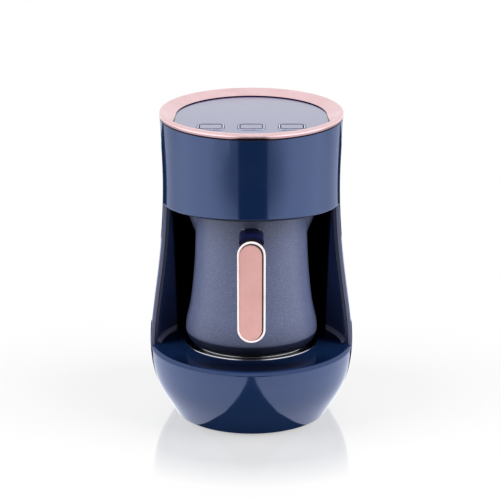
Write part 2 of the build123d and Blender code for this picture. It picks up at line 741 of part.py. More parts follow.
plunger_top = switch_height + plunger_proud
with BuildPart() as key_switches:
    with BuildSketch(board_plane):
        with Locations((0, key_y)):
            with key_row():
                Rectangle(switch_size, switch_size)
    extrude(amount=switch_height)
    with BuildSketch(switch_plane):
        with Locations((0, key_y)):
            with key_row():
                Circle(plunger_r + plunger_fit)
    extrude(amount=-(plunger_length - plunger_proud + key_travel + slip), mode=Mode.SUBTRACT)
finish(key_switches, "key_switches")

with BuildPart() as indicator_leds:
    with BuildSketch(board_plane):
        with Locations((0, key_y + board_width / 2 - 2 * led_r)):
            with key_row():
                Circle(led_r)
    extrude(amount=led_height)
    fillet(indicator_leds.edges().filter_by(on_plane(board_plane, led_height)), radius=led_dome)
finish(indicator_leds, "indicator_leds")

with BuildPart() as buzzer:
    with BuildSketch(board_plane.offset(-board_wall)):
        with Locations((key_pitch / 2, key_y)):
            Circle(buzzer_r)
            Circle(buzzer_hole_r, mode=Mode.SUBTRACT)
    extrude(amount=-buzzer_height)
finish(buzzer, "buzzer")

# ---- keys ----
flange_under = panel_wall + slip / 2 + key_flange
for place, key_x in key_xs.items():
    with BuildPart() as key:
        with BuildSketch(panel_plane.offset(-panel_wall - slip / 2)):
            with Locations((key_x, key_y)):
                RectangleRounded(key_length, key_width, key_corner)
        extrude(amount=panel_wall + slip / 2 + key_proud)
        fillet(key.edges().filter_by(on_plane(panel_plane, key_proud)), radius=key_proud / 2)
        # flange that stops the key under the panel, and its stem
        with BuildSketch(panel_plane.offset(-panel_wall - slip / 2)):
            with Locations((key_x, key_y)):
                RectangleRounded(key_length + 2 * key_flange_lap, key_width + 2 * key_flange_lap,
                                 key_corner)
        extrude(amount=-key_flange)
        with BuildSketch(panel_plane.offset(-flange_under)):
            with Locations((key_x, key_y)):
                Circle(stem_r)
        extrude(amount=-(board_drop - plunger_top - flange_under))
    finish(key, f"button_{place}")

    with BuildPart() as plunger:
        with BuildSketch(board_plane.offset(plunger_top)):
            with Locations((key_x, key_y)):
                Circle(plunger_r)
        extrude(amount=-plunger_length)
    finish(plunger, f"plunger_{place}")


# ---- wires, from the mains board up behind the niche to the control board ----
def behind_liner(z):
    """Middle of the room between the liner's back and the shell, at a height."""
    liner_y = radius_on(body_curve(liner_outer_inset, narrow), z) - niche_shift
    return (liner_y + radius_on(shell_curve, z)) / 2


board_back = board_plane.from_local_coords(Vector(0, key_y + board_width / 2, -board_wall / 2))
loom_start_z = board_top + terminal_size[2] / 2
loom_points = [
    (0, terminal_y + wire_gap, loom_start_z),
    (0, loom_deck_y - loom_turn, loom_start_z),
    (0, loom_deck_y, deck_z - loom_rise),
    (0, loom_deck_y, deck_z + loom_turn),
    (0, behind_liner(shoulder_z), shoulder_z),
    (0, loom_ceiling_y, neck_z),
    (0, loom_ceiling_y, ceiling_top + loom_head),
    (0, board_back.Y + loom_end, board_back.Z),
    (0, board_back.Y + wire_gap, board_back.Z),
]


def bend_radii(points):
    """As large an arc at each corner as its two runs allow."""
    radii = []
    for before, corner, after in zip(points, points[1:], points[2:]):
        run_in = Vector(corner) - Vector(before)
        run_out = Vector(after) - Vector(corner)
        half_turn = radians(run_in.get_angle(run_out)) / 2
        radii.append(bend_share * min(run_in.length, run_out.length) / tan(half_turn))
    return radii


loom_radii = bend_radii(loom_points)
with BuildPart() as wire_loom:
    with BuildLine() as loom_path:
        FilletPolyline(*loom_points, radius=loom_radii)
    with BuildSketch(Plane(origin=loom_path.wire() @ 0, z_dir=loom_path.wire() % 0)):
        Circle(loom_r)
    sweep()
finish(wire_loom, "wire_loom")


# ---- pot ----
def pot_section(inset, foot_z):
    """Half section of the pot's form, moved in by an inset, from a floor height."""
    round_r = pot_belly_r - pot_foot_r - inset
    round_height = pot_belly_z - foot_z
    flank = [(pot_belly_r, pot_belly_z), (pot_hip_r, pot_hip_z), (pot_flank_r, pot_flank_z),
             (pot_neck_r, pot_neck_z), (pot_top_r, pot_top_z)]
    with BuildSketch(Plane.XZ) as section:
        with BuildLine():
            floor = Line((0, foot_z), (pot_foot_r, foot_z))
            EllipticalCenterArc((pot_foot_r, pot_belly_z), round_r, round_height,
                                start_angle=270, arc_size=90)
            side = Spline(*[(r - inset, z) for r, z in flank],
                          tangents=[(0, 1), (pot_top_r - pot_neck_r, pot_top_z - pot_neck_z)])
            Polyline(side @ 1, (0, pot_top_z), floor @ 0)
        make_face()
    return section.sketch


spout_x = pot_top_r + spout_reach - spout_r
spout_places = [(side * spout_x, 0) for side in (-1, 1)]
spout_feet = [(x, y, pot_top_z - spout_drop) for x, y in spout_places]
disc_seat_z = pot_z + pot_disc_wall
pot_outer = pot_section(0, pot_z)
pot_inner = pot_section(pot_wall, disc_seat_z + pot_wall)


with BuildPart() as pot_body:
    revolve(pot_outer, axis=Axis.Z)
    # pouring lips, narrowing downwards into the wall
    with Locations(*spout_feet):
        Cone(pot_wall, spout_r, spout_drop, align=(Align.CENTER, Align.CENTER, Align.MIN))
    revolve(pot_inner, axis=Axis.Z, mode=Mode.SUBTRACT)
    with Locations(*spout_feet):
        Cone(spout_tip_r, spout_r - pot_wall, spout_drop,
             align=(Align.CENTER, Align.CENTER, Align.MIN), mode=Mode.SUBTRACT)
    # rolled edge round the mouth
    with BuildSketch(Plane.XY.offset(pot_top_z)):
        Circle(pot_top_r + pot_lip)
        with Locations(*spout_places):
            Circle(spout_r + pot_lip)
        Circle(pot_top_r - pot_wall / 2, mode=Mode.SUBTRACT)
        with Locations(*spout_places):
            Circle(spout_r - pot_wall / 2, mode=Mode.SUBTRACT)
    extrude(amount=-pot_lip_height)
    with BuildSketch(Plane.XY.offset(pot_z)):
        Circle(pot_disc_r + slip)
    extrude(amount=pot_disc_wall, mode=Mode.SUBTRACT)
finish(pot_body, "pot_body")

with BuildPart() as pot_disc:
    with BuildSketch(Plane.XY.offset(pot_z)):
        Circle(pot_disc_r)
    extrude(amount=pot_disc_wall)
finish(pot_disc, "pot_disc")

# ---- handle ----
grip_mid_y = grip_back_y - grip_thick / 2
strap_low, strap_high = neck_mid_z - strap_height / 2, neck_mid_z + strap_height / 2
strap_front_r = pot_neck_r + slip + strap_thick
with BuildPart() as handle_bracket:
    revolve(pot_section(-slip - strap_thick, pot_z), axis=Axis.Z)
    revolve(pot_section(-slip, pot_z), axis=Axis.Z, mode=Mode.SUBTRACT)
    split(bisect_by=Plane.XY.offset(strap_low), keep=Keep.TOP)
    split(bisect_by=Plane.XY.offset(strap_high), keep=Keep.BOTTOM)
    extrude(wedge(strap_half_angle), amount=tall, mode=Mode.INTERSECT)
    with BuildSketch(Plane.XY.offset(neck_mid_z)):
        with Locations((0, -strap_front_r + strap_thick)):
            Rectangle(tongue_width, tongue_length + strap_thick, align=(Align.CENTER, Align.MAX))
        with Locations((0, -strap_front_r - tongue_length / 2)):
            Circle(handle_screw_r + slip, mode=Mode.SUBTRACT)
    extrude(amount=tongue_thick / 2, both=True)
finish(handle_bracket, "handle_bracket")

grip_high_z = pad_high_z + grip_above_pad
screw_y = -strap_front_r - tongue_length / 2
with BuildPart() as handle_grip:
    with BuildSketch(Plane.XZ.offset(-grip_back_y)):
        with Locations((0, (grip_high_z + grip_end_z) / 2)):
            SlotOverall(grip_high_z - grip_end_z, grip_width, rotation=90)
    extrude(amount=grip_thick)
    fillet(handle_grip.edges().group_by(Axis.Y)[-1], radius=grip_corner)
    with BuildSketch(Plane.XZ.offset(-grip_mid_y)):
        with Locations((0, neck_mid_z)):
            Ellipse(neck_width / 2, neck_height / 2)
    extrude(amount=grip_mid_y + pot_neck_r - pot_wall)
    fillet(handle_grip.edges().filter_by(on_plane(Plane.XZ, -grip_back_y)).filter_by(
        lambda e: abs(e.center().X) < neck_width / 2 + neck_blend
        and abs(e.center().Z - neck_mid_z) < neck_height / 2 + neck_blend), radius=neck_blend)
    revolve(pot_section(-2 * slip - strap_thick, pot_z), axis=Axis.Z, mode=Mode.SUBTRACT)
    # slot for the bracket's tongue and hole for the screw
    with BuildSketch(Plane.XY.offset(neck_mid_z)):
        with Locations((0, -pot_neck_r)):
            Rectangle(tongue_width + 2 * slip, tongue_length + strap_thick + 2 * slip,
                      align=(Align.CENTER, Align.MAX))
    extrude(amount=tongue_thick / 2 + slip, both=True, mode=Mode.SUBTRACT)
    with BuildSketch(Plane.XY.offset(neck_mid_z - neck_height / 2)):
        with Locations((0, screw_y)):
            Circle(handle_screw_r + screw_fit)
    extrude(amount=handle_screw_length + slip, mode=Mode.SUBTRACT)
    with BuildSketch(Plane.XY.offset(neck_mid_z - neck_height / 2)):
        with Locations((0, screw_y)):
            Circle(handle_screw_head_r + slip)
    extrude(amount=handle_screw_head, mode=Mode.SUBTRACT)
finish(handle_grip, "handle_grip")

with BuildPart() as handle_pad:
    with BuildSketch(Plane.XZ.offset(grip_thick - grip_back_y)):
        with Locations((0, (pad_high_z + pad_low_z) / 2)):
            SlotOverall(pad_high_z - pad_low_z, pad_width, rotation=90)
    extrude(amount=pad_thick)
    front_edges = handle_pad.edges().group_by(Axis.Y)[0]
    fillet(front_edges, radius=pad_round)
    with BuildSketch(Plane.XZ.offset(grip_thick - grip_back_y + pad_thick)):
        with Locations((0, (pad_high_z + pad_low_z) / 2)):
            SlotOverall(pad_high_z - pad_low_z - 2 * pad_border, pad_width - 2 * pad_border,
                        rotation=90)
    extrude(amount=-pad_recess, mode=Mode.SUBTRACT)
finish(handle_pad, "handle_pad")

with BuildPart() as handle_screw:
    with BuildSketch(Plane.XY.offset(neck_mid_z - neck_height / 2)):
        with Locations((0, screw_y)):
            Circle(handle_screw_head_r)
    extrude(amount=handle_screw_head)
    with BuildSketch(Plane.XY.offset(neck_mid_z - neck_height / 2)):
        with Locations((0, screw_y)):
            Circle(handle_screw_r)
    extrude(amount=handle_screw_length)
finish(handle_screw, "handle_screw")
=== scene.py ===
import math
import bpy
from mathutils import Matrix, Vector


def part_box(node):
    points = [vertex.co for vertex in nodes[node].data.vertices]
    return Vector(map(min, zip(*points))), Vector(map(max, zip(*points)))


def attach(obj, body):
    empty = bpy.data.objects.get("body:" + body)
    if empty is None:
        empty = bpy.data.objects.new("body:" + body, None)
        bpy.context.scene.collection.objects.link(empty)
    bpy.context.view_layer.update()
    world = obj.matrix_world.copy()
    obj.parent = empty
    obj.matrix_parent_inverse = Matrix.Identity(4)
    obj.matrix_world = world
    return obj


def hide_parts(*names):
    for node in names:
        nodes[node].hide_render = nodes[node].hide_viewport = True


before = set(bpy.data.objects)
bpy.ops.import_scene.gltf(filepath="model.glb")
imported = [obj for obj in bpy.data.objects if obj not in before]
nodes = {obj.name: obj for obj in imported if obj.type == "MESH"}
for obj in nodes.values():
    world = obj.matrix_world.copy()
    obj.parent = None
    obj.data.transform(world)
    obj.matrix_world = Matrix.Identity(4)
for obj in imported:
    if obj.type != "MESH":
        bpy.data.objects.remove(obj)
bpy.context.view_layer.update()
print("frame loaded:", len(nodes), "nodes")


# helpers for materials
def newMaterial(name):
    # an empty material with its output and a principled shader
    material = bpy.data.materials.new(name)
    material.use_nodes = True
    tree = material.node_tree
    shader = tree.nodes["Principled BSDF"]
    return material, tree, shader


def addNode(tree, kind, **settings):
    node = tree.nodes.new(kind)
    for key, value in settings.items():
        setattr(node, key, value)
    return node


def objectNoise(tree, scale, detail=2.0, roughness=0.5, stretch=(1, 1, 1)):
    # noise laid out on object coordinates, in 1/metre
    coords = addNode(tree, "ShaderNodeTexCoord")
    mapping = addNode(tree, "ShaderNodeMapping")
    mapping.inputs["Scale"].default_value = stretch
    noise = addNode(tree, "ShaderNodeTexNoise")
    noise.inputs["Scale"].default_value = scale
    noise.inputs["Detail"].default_value = detail
    noise.inputs["Roughness"].default_value = roughness
    tree.links.new(coords.outputs["Object"], mapping.inputs["Vector"])
    tree.links.new(mapping.outputs["Vector"], noise.inputs["Vector"])
    return noise


def ramp(tree, source, stops):
    # colour ramp: a list of (position, colour)
    node = addNode(tree, "ShaderNodeValToRGB")
    elements = node.color_ramp.elements
    while len(elements) < len(stops):
        elements.new(0.5)
    for element, (position, colour) in zip(elements, stops):
        element.position = position
        element.color = (*colour, 1.0)
    tree.links.new(source, node.inputs["Fac"])
    return node.outputs["Color"]


noiseSpan = (0.3, 0.7)  # where nearly all of a noise texture's values lie


def spread(tree, source, low, high):
    # noise value stretched to a range
    node = addNode(tree, "ShaderNodeMapRange")
    node.inputs["From Min"].default_value = noiseSpan[0]
    node.inputs["From Max"].default_value = noiseSpan[1]
    node.inputs["To Min"].default_value = low
    node.inputs["To Max"].default_value = high
    tree.links.new(source, node.inputs["Value"])
    return node.outputs["Result"]


def ranged(tree, source, low, high):
    # 0 below one value, 1 above another
    node = addNode(tree, "ShaderNodeMapRange")
    node.inputs["From Min"].default_value = low
    node.inputs["From Max"].default_value = high
    tree.links.new(source, node.inputs["Value"])
    return node.outputs["Result"]


def along(tree, axis, low, high, mirrored=False):
    # 0 below a place on an axis of the object's own frame, 1 above another
    # mirrored takes both sides
    coords = addNode(tree, "ShaderNodeTexCoord")
    split = addNode(tree, "ShaderNodeSeparateXYZ")
    tree.links.new(coords.outputs["Object"], split.inputs["Vector"])
    place = split.outputs[axis]
    if mirrored:
        size = addNode(tree, "ShaderNodeMath", operation="ABSOLUTE")
        tree.links.new(place, size.inputs[0])
        place = size.outputs["Value"]
    return ranged(tree, place, low, high)


def product(tree, first, second):
    node = addNode(tree, "ShaderNodeMath", operation="MULTIPLY")
    tree.links.new(first, node.inputs[0])
    tree.links.new(second, node.inputs[1])
    return node.outputs["Value"]


topSlope = math.radians(9.1)


def aboveSlope(tree):
    # height square to the sloping top, from the origin
    coords = addNode(tree, "ShaderNodeTexCoord")
    lean = addNode(tree, "ShaderNodeVectorMath", operation="DOT_PRODUCT")
    tree.links.new(coords.outputs["Object"], lean.inputs[0])
    lean.inputs[1].default_value = (0, -math.sin(topSlope), math.cos(topSlope))
    return lean.outputs["Value"]


def facing(tree, axis, low, high):
    # 0 to 1 as a face turns towards an axis of its own frame
    coords = addNode(tree, "ShaderNodeTexCoord")
    split = addNode(tree, "ShaderNodeSeparateXYZ")
    tree.links.new(coords.outputs["Normal"], split.inputs["Vector"])
    return ranged(tree, split.outputs[axis], low, high)


def mixed(tree, factor, first, second):
    # colour between two others
    node = addNode(tree, "ShaderNodeMix", data_type="RGBA")
    tree.links.new(factor, node.inputs["Factor"])
    for socket, colour in ((node.inputs[6], first), (node.inputs[7], second)):
        if isinstance(colour, tuple):
            socket.default_value = (*colour, 1.0)
        else:
            tree.links.new(colour, socket)
    return node.outputs[2]


def mixedValue(tree, factor, first, second):
    node = addNode(tree, "ShaderNodeMix", data_type="FLOAT")
    tree.links.new(factor, node.inputs["Factor"])
    tree.links.new(first, node.inputs[2])
    node.inputs[3].default_value = second
    return node.outputs[0]


def bump(tree, source, height, strength=1.0):
    # height in metres
    node = addNode(tree, "ShaderNodeBump")
    node.inputs["Strength"].default_value = strength
    node.inputs["Distance"].default_value = height
    tree.links.new(source, node.inputs["Height"])
    return node.outputs["Normal"]


# finishes
lacquer = {
    "dark": (0.0040, 0.0135, 0.050), "light": (0.0064, 0.0205, 0.072),
    "flakeScale": 2600.0, "roughness": (0.09, 0.13), "metallic": 0.35,
    "ior": 1.7, "specular": 1.0, "tint": (0.43, 0.50, 0.74),
    "ripple": 0.000004, "rippleScale": 160.0, "smudgeScale": 45.0,
    # the edge tone is painted shade along the brow's lower edge and the joint under the ring
    "edgeShadeTone": (0.0010, 0.0016, 0.006), "edgeRoughness": 0.9,
    "underEdge": (0.1600, 0.1604), "topEdge": (0.2211, 0.2214),
    # the deck tone is painted shade: a dark reflection painted on the deck's front
    "deckShadeTone": (0.0014, 0.0030, 0.011), "deckRoughness": 0.12, "deckFrontShade": (-0.034, -0.060),
    # the rim tone is a painted highlight on the shell's cut edge
    "rimHighlightTone": (0.100, 0.108, 0.165), "rimRoughness": 0.5, "rimFoot": (0.0524, 0.0528),
}


def browEdgeShade(tree):
    # painted shade: the brow's lower edge and the joint under the ring are darkened where shadow
    # falls
    low = addNode(tree, "ShaderNodeMath", operation="SUBTRACT")
    low.inputs[0].default_value = 1.0
    tree.links.new(along(tree, "Z", *lacquer["underEdge"]), low.inputs[1])
    both = addNode(tree, "ShaderNodeMath", operation="MAXIMUM")
    tree.links.new(low.outputs["Value"], both.inputs[0])
    tree.links.new(ranged(tree, aboveSlope(tree), *lacquer["topEdge"]), both.inputs[1])
    return both.outputs["Value"]


def nicheRimHighlight(tree):
    # painted highlight: the shell's cut edge round the opening is made pale where it faces the front
    return product(tree, facing(tree, "Y", -0.90, -0.95), along(tree, "Z", *lacquer["rimFoot"]))


def deckFrontShade(tree):
    # painted shade: the deck's top is darkened towards its front edge, standing for the dark
    # reflection of the pot's base
    return product(tree, facing(tree, "Z", 0.90, 0.95), along(tree, "Y", *lacquer["deckFrontShade"]))


def navyGloss(name, zone=None, tone=None, zoneRoughness=None):
    # deep glossy body colour with a fine pearl and a slight moulding ripple
    # a zone takes another tone: painted shade or a painted highlight
    look = lacquer
    material, tree, shader = newMaterial(name)
    flakes = objectNoise(tree, look["flakeScale"], 1.0)
    colour = ramp(tree, flakes.outputs["Fac"], [(0.35, look["dark"]), (0.65, look["light"])])
    smudges = objectNoise(tree, look["smudgeScale"], 3.0, 0.6)
    roughness = spread(tree, smudges.outputs["Fac"], *look["roughness"])
    if zone:
        factor = zone(tree)
        colour = mixed(tree, factor, colour, tone)
        roughness = mixedValue(tree, factor, roughness, zoneRoughness)
    tree.links.new(colour, shader.inputs["Base Color"])
    tree.links.new(roughness, shader.inputs["Roughness"])
    shader.inputs["Metallic"].default_value = look["metallic"]
    shader.inputs["IOR"].default_value = look["ior"]
    shader.inputs["Specular IOR Level"].default_value = look["specular"]
    shader.inputs["Specular Tint"].default_value = (*look["tint"], 1.0)
    ripple = objectNoise(tree, look["rippleScale"], 1.0)
    tree.links.new(bump(tree, ripple.outputs["Fac"], look["ripple"]), shader.inputs["Normal"])
    return material


liningLook = {
    # the navy is painted light on the cheeks, the pale fillet colour a painted highlight
    "black": (0.0006, 0.0006, 0.0012), "navy": (0.050, 0.078, 0.225),
    "flange": (0.0055, 0.0095, 0.034), "fillet": (0.34, 0.36, 0.52),
    "edge": (0.0580, 0.0592), "flangeFront": (-0.0124, -0.0120), "filletTop": (0.0570, 0.0576),
    "roughness": (0.30, 0.36), "specular": 0.35, "toneScale": 90.0,
}


def nicheLining():
    # navy cheeks beside the opening as painted light against the black further in, a dark front
    # flange, and a pale foot that is a painted highlight
    look = liningLook
    material, tree, shader = newMaterial("nicheLining")
    tone = objectNoise(tree, look["toneScale"], 3.0, 0.6)
    cheek = along(tree, "X", *look["edge"], mirrored=True)
    colour = mixed(tree, along(tree, "Z", *look["filletTop"]), look["fillet"], look["navy"])
    colour = mixed(tree, cheek, look["black"], colour)
    colour = mixed(tree, along(tree, "Y", *look["flangeFront"]), look["flange"], colour)
    tree.links.new(colour, shader.inputs["Base Color"])
    tree.links.new(spread(tree, tone.outputs["Fac"], *look["roughness"]), shader.inputs["Roughness"])
    shader.inputs["Specular IOR Level"].default_value = look["specular"]
    return material


panelLook = {
    "dark": (0.007, 0.010, 0.070), "light": (0.011, 0.015, 0.092),
    "roughness": (0.16, 0.20), "ior": 1.8, "tint": (0.60, 0.66, 1.0),
    "coat": 1.0, "coatRoughness": 0.15, "flakeScale": 3200.0, "hazeScale": 60.0,
    # the pale step colour is a painted reflection on the front sides of the key frames
    "step": (0.33, 0.34, 0.41), "stepFacing": (-0.35, -0.6),  # front sides of the key frames
}


def navyPanel(name):
    # clear-coated panel and keys
    look = panelLook
    material, tree, shader = newMaterial(name)
    flakes = objectNoise(tree, look["flakeScale"], 1.0)
    colour = ramp(tree, flakes.outputs["Fac"], [(0.35, look["dark"]), (0.65, look["light"])])
    colour = mixed(tree, facing(tree, "Y", *look["stepFacing"]), colour, look["step"])
    tree.links.new(colour, shader.inputs["Base Color"])
    haze = objectNoise(tree, look["hazeScale"], 3.0, 0.6)
    tree.links.new(spread(tree, haze.outputs["Fac"], *look["roughness"]), shader.inputs["Roughness"])
    shader.inputs["IOR"].default_value = look["ior"]
    shader.inputs["Specular Tint"].default_value = (*look["tint"], 1.0)
    shader.inputs["Coat Weight"].default_value = look["coat"]
    shader.inputs["Coat IOR"].default_value = look["ior"]
    shader.inputs["Coat Roughness"].default_value = look["coatRoughness"]
    return material


roseLook = {
    "deep": (0.81, 0.55, 0.57), "pale": (0.88, 0.63, 0.66), "ring": (0.20, 0.26),
    "padDeep": (0.585, 0.32, 0.30), "padPale": (0.625, 0.35, 0.33), "pad": (0.46, 0.54),
    # the groove colour is a painted shadow, the side colour painted shade on the ring
    "grooveShadow": (0.020, 0.006, 0.010), "side": (0.34, 0.225, 0.245),
    "grooveTop": (0.2223, 0.2226), "grooveRise": 0.0006, "riseHalf": (0.008, 0.014),
    "sideTop": (0.2235, 0.2239), "sideFacing": (0.60, 0.40),
    "edgeDeep": (0.70, 0.60, 0.60), "edgePale": (0.78, 0.69, 0.69), "edge": (0.14, 0.18),
    "edgeMetallic": 0.25, "padMetallic": 0.6,
    "cloudScale": 70.0, "grainScale": 1500.0, "grainStretch": (1, 1, 0.25),
    "ringGrain": 0.000002, "padGrain": 0.000006, "edgeGrain": 0.000001,
}


def ringShadeZones(tree, colour):
    # painted shade: a darker upright side and a black painted shadow in the joint at its foot, higher
    # at the middle of the front where a dark reflection falls
    look = roseLook
    height = aboveSlope(tree)
    upright = facing(tree, "Z", *look["sideFacing"])
    side = mixed(tree, ranged(tree, height, *look["sideTop"]), look["side"], colour)
    rise = addNode(tree, "ShaderNodeMath", operation="MULTIPLY_ADD")
    tree.links.new(along(tree, "X", *look["riseHalf"], mirrored=True), rise.inputs[0])
    rise.inputs[1].default_value = look["grooveRise"]
    tree.links.new(height, rise.inputs[2])
    low, high = (value + look["grooveRise"] for value in look["grooveTop"])
    side = mixed(tree, ranged(tree, rise.outputs["Value"], low, high), look["grooveShadow"], side)
    return mixed(tree, upright, colour, side)


def roseMetal(name, deep, pale, roughness, grain, metallic=1.0, zones=None):
    # plated rose gold with a faint cloudy tone and a fine grain
    look = roseLook
    material, tree, shader = newMaterial(name)
    tone = objectNoise(tree, look["cloudScale"], 3.0, 0.6)
    colour = ramp(tree, tone.outputs["Fac"], [(0.3, deep), (0.7, pale)])
    if zones:
        colour = zones(tree, colour)
    tree.links.new(colour, shader.inputs["Base Color"])
    shader.inputs["Metallic"].default_value = metallic
    fine = objectNoise(tree, look["grainScale"], 2.0, 0.6, look["grainStretch"])
    tree.links.new(spread(tree, fine.outputs["Fac"], *roughness), shader.inputs["Roughness"])
    tree.links.new(bump(tree, fine.outputs["Fac"], grain), shader.inputs["Normal"])
    return material


potLook = {
    "dark": (0.042, 0.051, 0.092), "mid": (0.050, 0.060, 0.110), "light": (0.100, 0.118, 0.196),
    # the foot and low colours are painted shade on the pot's lower part
    "foot": (0.0016, 0.003, 0.012), "footTop": (0.0632, 0.0642),
    "low": (0.70, 0.70, 0.72), "lowTop": (0.064, 0.082),
    "fleckScale": 1200.0, "hazeScale": 500.0, "roughness": (0.44, 0.52), "metallic": 0.05,
    "orangePeel": 0.000015,
}


def potCoat():
    # satin coat full of fine flecks, with painted shade darker towards the foot and a near-black
    # painted shadow at the foot
    look = potLook
    material, tree, shader = newMaterial("potCoat")
    flecks = objectNoise(tree, look["fleckScale"], 3.0, 0.7)
    colour = ramp(tree, flecks.outputs["Fac"],
                  [(0.30, look["dark"]), (0.52, look["mid"]), (0.72, look["light"])])
    # painted shade: the coat is darkened towards the foot
    shade = mixed(tree, along(tree, "Z", *look["lowTop"]), look["low"], (1.0, 1.0, 1.0))
    darker = addNode(tree, "ShaderNodeMix", data_type="RGBA", blend_type="MULTIPLY")
    darker.inputs["Factor"].default_value = 1.0
    tree.links.new(colour, darker.inputs[6])
    tree.links.new(shade, darker.inputs[7])
    colour = mixed(tree, along(tree, "Z", *look["footTop"]), look["foot"], darker.outputs[2])
    tree.links.new(colour, shader.inputs["Base Color"])
    shader.inputs["Metallic"].default_value = look["metallic"]
    haze = objectNoise(tree, look["hazeScale"], 2.0, 0.6)
    tree.links.new(spread(tree, haze.outputs["Fac"], *look["roughness"]), shader.inputs["Roughness"])
    tree.links.new(bump(tree, flecks.outputs["Fac"], look["orangePeel"]), shader.inputs["Normal"])
    return material


handleLook = {
    # the neck and the grip's back are a very dark navy, darker than the pot's coat as painted shade
    # under the brow, the grip's front is black
    "neck": (0.003, 0.004, 0.026), "grip": (0.0015, 0.001, 0.002), "turn": (-0.0702, -0.0696),
    "roughness": (0.40, 0.50), "specular": 0.15, "grain": 0.000006, "grainScale": 1600.0,
}


def handleFinish():
    look = handleLook
    material, tree, shader = newMaterial("handleBlack")
    neck = along(tree, "Y", *look["turn"])
    tree.links.new(mixed(tree, neck, look["grip"], look["neck"]), shader.inputs["Base Color"])
    fine = objectNoise(tree, look["grainScale"], 2.0, 0.5)
    tree.links.new(spread(tree, fine.outputs["Fac"], *look["roughness"]), shader.inputs["Roughness"])
    tree.links.new(bump(tree, fine.outputs["Fac"], look["grain"]), shader.inputs["Normal"])
    shader.inputs["Specular IOR Level"].default_value = look["specular"]
    return material


stockGrainScale = 1800.0


def plainFinish(name, dark, light, scale, roughness, metallic=0.0, grain=0.0, specular=0.5):
    # moulded or plated stock with a mottled tone
    material, tree, shader = newMaterial(name)
    tone = objectNoise(tree, scale, 3.0, 0.6)
    colour = ramp(tree, tone.outputs["Fac"], [(0.3, dark), (0.7, light)])
    tree.links.new(colour, shader.inputs["Base Color"])
    tree.links.new(spread(tree, tone.outputs["Fac"], *roughness), shader.inputs["Roughness"])
    shader.inputs["Metallic"].default_value = metallic
    shader.inputs["Specular IOR Level"].default_value = specular
    if grain:
        fine = objectNoise(tree, stockGrainScale, 2.0, 0.5)
        tree.links.new(bump(tree, fine.outputs["Fac"], grain), shader.inputs["Normal"])
    return material


lensLook = {
    "dark": (0.02, 0.02, 0.03), "light": (0.04, 0.03, 0.05), "roughness": (0.05, 0.09),
    "toneScale": 90.0,
}


def lensFinish():
    look = lensLook
    material, tree, shader = newMaterial("sensorLens")
    tone = objectNoise(tree, look["toneScale"], 2.0)
    colour = ramp(tree, tone.outputs["Fac"], [(0.3, look["dark"]), (0.7, look["light"])])
    tree.links.new(colour, shader.inputs["Base Color"])
    tree.links.new(spread(tree, tone.outputs["Fac"], *look["roughness"]), shader.inputs["Roughness"])
    return material


finishes = {
    "navy_gloss": navyGloss("navyGloss"),
    "navy_panel": navyPanel("navyPanel"),
    "navy_key": navyPanel("navyKey"),
    "rose_gold": roseMetal("roseGold", roseLook["deep"], roseLook["pale"], roseLook["ring"],
                           roseLook["ringGrain"], zones=ringShadeZones),
    "rose_pad": roseMetal("rosePad", roseLook["padDeep"], roseLook["padPale"], roseLook["pad"],
                          roseLook["padGrain"], metallic=roseLook["padMetallic"]),
    "pot_coat": potCoat(),
    "handle_black": handleFinish(),
    "chrome_trim": plainFinish("chromeTrim", (0.60, 0.60, 0.62), (0.72, 0.72, 0.74),
                               120.0, (0.07, 0.12), metallic=1.0),
    "plate_metal": plainFinish("plateMetal", (0.10, 0.10, 0.11), (0.16, 0.16, 0.17),
                               200.0, (0.25, 0.35), metallic=1.0, grain=0.000006),
    "steel": plainFinish("steel", (0.42, 0.42, 0.44), (0.55, 0.55, 0.57), 160.0, (0.22, 0.32),
                         metallic=1.0),
    "black_plastic": plainFinish("blackPlastic", (0.010, 0.010, 0.012), (0.018, 0.018, 0.020),
                                 200.0, (0.40, 0.52), grain=0.000012),
    "silicone": plainFinish("silicone", (0.030, 0.030, 0.034), (0.048, 0.048, 0.052),
                            180.0, (0.5, 0.6)),
    "foot_rubber": plainFinish("footRubber", (0.012, 0.012, 0.013), (0.022, 0.022, 0.022),
                               260.0, (0.65, 0.80), grain=0.000015),
    "board_green": plainFinish("boardGreen", (0.010, 0.075, 0.030), (0.016, 0.110, 0.045),
                               220.0, (0.30, 0.42)),
    "rim": roseMetal("roseRim", roseLook["edgeDeep"], roseLook["edgePale"], roseLook["edge"],
                     roseLook["edgeGrain"], metallic=roseLook["edgeMetallic"]),
    "component": plainFinish("component", (0.015, 0.015, 0.017), (0.030, 0.030, 0.032),
                             260.0, (0.35, 0.50)),
    "relay_case": plainFinish("relayCase", (0.02, 0.06, 0.22), (0.03, 0.08, 0.27), 200.0, (0.3, 0.4)),
    "terminal": plainFinish("terminal", (0.03, 0.20, 0.07), (0.05, 0.26, 0.10), 200.0, (0.35, 0.45)),
    "wire": plainFinish("wire", (0.10, 0.10, 0.11), (0.16, 0.16, 0.17), 300.0, (0.4, 0.5)),
    "lamp": plainFinish("lamp", (0.55, 0.56, 0.60), (0.68, 0.69, 0.72), 300.0, (0.12, 0.2)),
    "lens": lensFinish(),
}
